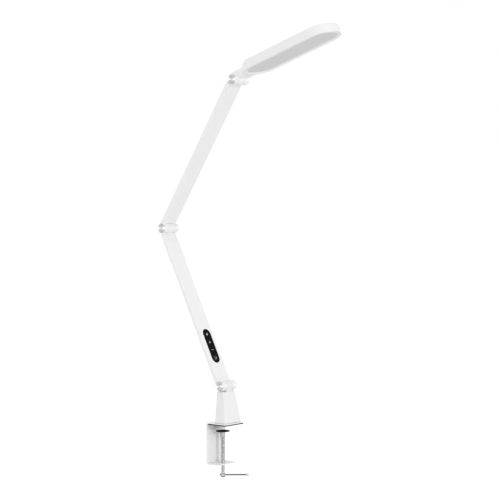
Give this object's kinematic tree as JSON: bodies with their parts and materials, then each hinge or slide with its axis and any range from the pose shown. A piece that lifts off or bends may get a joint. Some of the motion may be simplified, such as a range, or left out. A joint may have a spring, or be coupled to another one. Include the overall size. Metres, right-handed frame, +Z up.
{
  "type": "desk lamp",
  "caption": "Folding LED desk lamp: screw clamp, swivel column, two flat hinged arms with a touch panel, and a long round-ended light head.",
  "frame": {"origin": "on the swivel axis of the column, at the underside of the desk pad, so z = 0 is the desk top", "axes": "+Z up out of the desk top, +X towards the desk and the side the lamp head reaches over, the three fold hinges lie along Y"},
  "size_m": [0.4356, 0.075, 0.874],
  "materials": {
    "white_steel": "satin",
    "white_alloy": "satin",
    "white_plastic": "satin",
    "bright_steel": "satin",
    "spun_cap": "satin",
    "black_rubber": "matte",
    "black_gloss": "gloss",
    "black_plastic": "satin",
    "grey_vinyl": "satin",
    "nylon": "satin",
    "frosted_diffuser": "satin",
    "circuit_board": "satin",
    "board_alloy": "matte",
    "led_phosphor": "satin",
    "wire_white": "satin"
  },
  "bodies": {
    "clamp_frame": {"clamp_bracket": "white_steel", "desk_pad": "black_rubber", "swivel_bolt": "bright_steel", "slip_washer_disc": "nylon", "swivel_spring": "bright_steel", "swivel_nut": "bright_steel"},
    "pressure_foot": {"pressure_cup": "bright_steel", "pressure_disc": "black_plastic"},
    "screw": {"clamp_screw": "bright_steel"},
    "bar": {"tommy_bar": "bright_steel", "tommy_bar_cap": "grey_vinyl"},
    "column": {"column_shell": "white_plastic", "column_floor": "bright_steel", "column_screws": "bright_steel", "power_inlet": "black_plastic", "column_wire": "wire_white"},
    "lower_arm": {"lower_arm_tube": "white_alloy", "lower_foot_fork": "white_alloy", "lower_elbow_knuckle": "white_alloy", "lower_arm_screws": "bright_steel", "lower_arm_wire": "wire_white", "foot_axle": "bright_steel", "foot_nut": "bright_steel", "foot_washers": "nylon", "foot_caps": "spun_cap", "touch_panel": "black_gloss", "touch_board": "circuit_board"},
    "upper_arm": {"upper_arm_tube": "white_alloy", "upper_elbow_fork": "white_alloy", "upper_head_knuckle": "white_alloy", "upper_arm_screws": "bright_steel", "upper_arm_wire": "wire_white", "elbow_axle": "bright_steel", "elbow_nut": "bright_steel", "elbow_washers": "nylon", "elbow_caps": "spun_cap"},
    "head": {"head_neck": "white_alloy", "head_axle": "bright_steel", "head_nut": "bright_steel", "head_washers": "nylon", "head_caps": "spun_cap", "head_shell": "white_plastic", "head_frame": "white_plastic", "diffuser": "frosted_diffuser", "led_board": "board_alloy", "led_chips": "led_phosphor", "board_screws": "bright_steel", "neck_screws": "bright_steel", "head_wire": "wire_white"}
  },
  "joints": [
    {"name": "base_swivel", "type": "hinge", "parent": "clamp_frame", "child": "column", "pos_m": [0, 0, 0], "axis": [0, 0, 1], "range_deg": [-170, 170]},
    {"name": "foot_tilt", "type": "hinge", "parent": "column", "child": "lower_arm", "pos_m": [0, 0, 0.0764], "axis": [0, 1, 0], "range_deg": [-63.3, 116.7]},
    {"name": "elbow_fold", "type": "hinge", "parent": "lower_arm", "child": "upper_arm", "pos_m": [-0.15501, 0, 0.38461], "axis": [0, -1, 0], "range_deg": [-105.6, 59.4]},
    {"name": "head_tilt", "type": "hinge", "parent": "upper_arm", "child": "head", "pos_m": [0.03137, 0, 0.67493], "axis": [0, 1, 0], "range_deg": [-39.3, 130.7]},
    {"name": "screw_travel", "type": "slide", "parent": "clamp_frame", "child": "pressure_foot", "axis": [0, 0, 1], "range_m": [-0.048, 0.0125]},
    {"name": "screw_turn", "type": "hinge", "parent": "pressure_foot", "child": "screw", "pos_m": [-0.0088, 0, 0], "axis": [0, 0, 1], "range_deg": [-13824, 3600]},
    {"name": "bar_slide", "type": "slide", "parent": "screw", "child": "bar", "axis": [0.766, 0.6428, 0], "range_m": [-0.041, 0]}
  ],
  "couplings": [
    {"joint": "screw_turn", "follows": "screw_travel", "rad_per_m": 5026.5}
  ]
}
